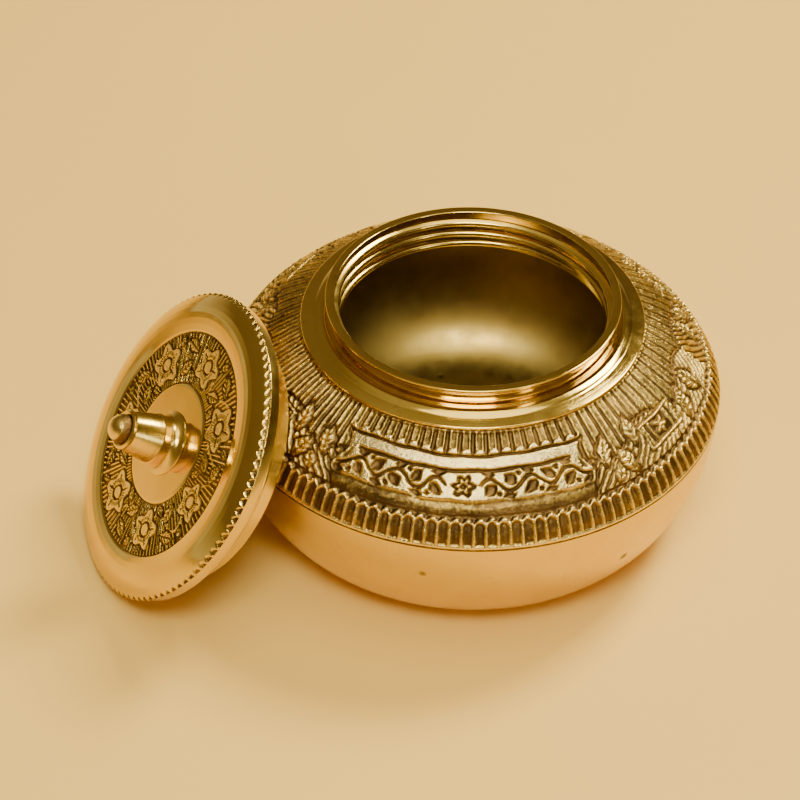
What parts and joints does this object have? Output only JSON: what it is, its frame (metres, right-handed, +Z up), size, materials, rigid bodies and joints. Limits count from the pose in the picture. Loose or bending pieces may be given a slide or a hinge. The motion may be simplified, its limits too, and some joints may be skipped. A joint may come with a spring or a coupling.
{
  "type": "lidded pot",
  "caption": "Squat round brass pot with an embossed shoulder, a turned neck with an inside thread, and a separate round lid with a central knob that leans on it.",
  "frame": {"origin": "centre of the pot's flat base", "axes": "+Z up along the pot's axis, out of its mouth; -X towards the lid, which leans on the pot in the XZ plane; +Y completes a right-handed frame"},
  "size_m": [0.1011, 0.078, 0.0409],
  "materials": {
    "bowl_brass": "soft polished",
    "shoulder_brass": "cast, dark patina in the recesses",
    "collar_brass": "turned and polished",
    "lid_brass": "polished, dark patina in the engraving",
    "ring_brass": "turned",
    "knob_brass": "turned and polished"
  },
  "bodies": {
    "pot": {"bowl": "bowl_brass", "shoulder": "shoulder_brass", "neck_collar": "collar_brass"},
    "lid_grip": {"knob_ball": "knob_brass"},
    "lid_knob": {"knob": "knob_brass", "knob_washer": "ring_brass"},
    "lid": {"lid_cover": "lid_brass", "lid_thread_ring": "ring_brass"}
  },
  "joints": [
    {"name": "lid_carry", "type": "hinge", "parent": "pot", "child": "lid_grip", "pos_m": [-0.03305, 0, 0.0502], "axis": [0, 1, 0], "range_deg": [0, 226.45]},
    {"name": "lid_level", "type": "hinge", "parent": "lid_grip", "child": "lid_knob", "pos_m": [-0.05583, 0, 0.02625], "axis": [0, 1, 0], "range_deg": [-171.26, 0]},
    {"name": "lid_turn", "type": "hinge", "parent": "lid_knob", "child": "lid", "pos_m": [-0.0463, 0, 0.01963], "axis": [-0.8212, 0, 0.5707], "range_deg": [0, 630]}
  ],
  "couplings": [
    {"joint": "lid_level", "follows": "lid_carry", "ratio": -0.75623}
  ]
}
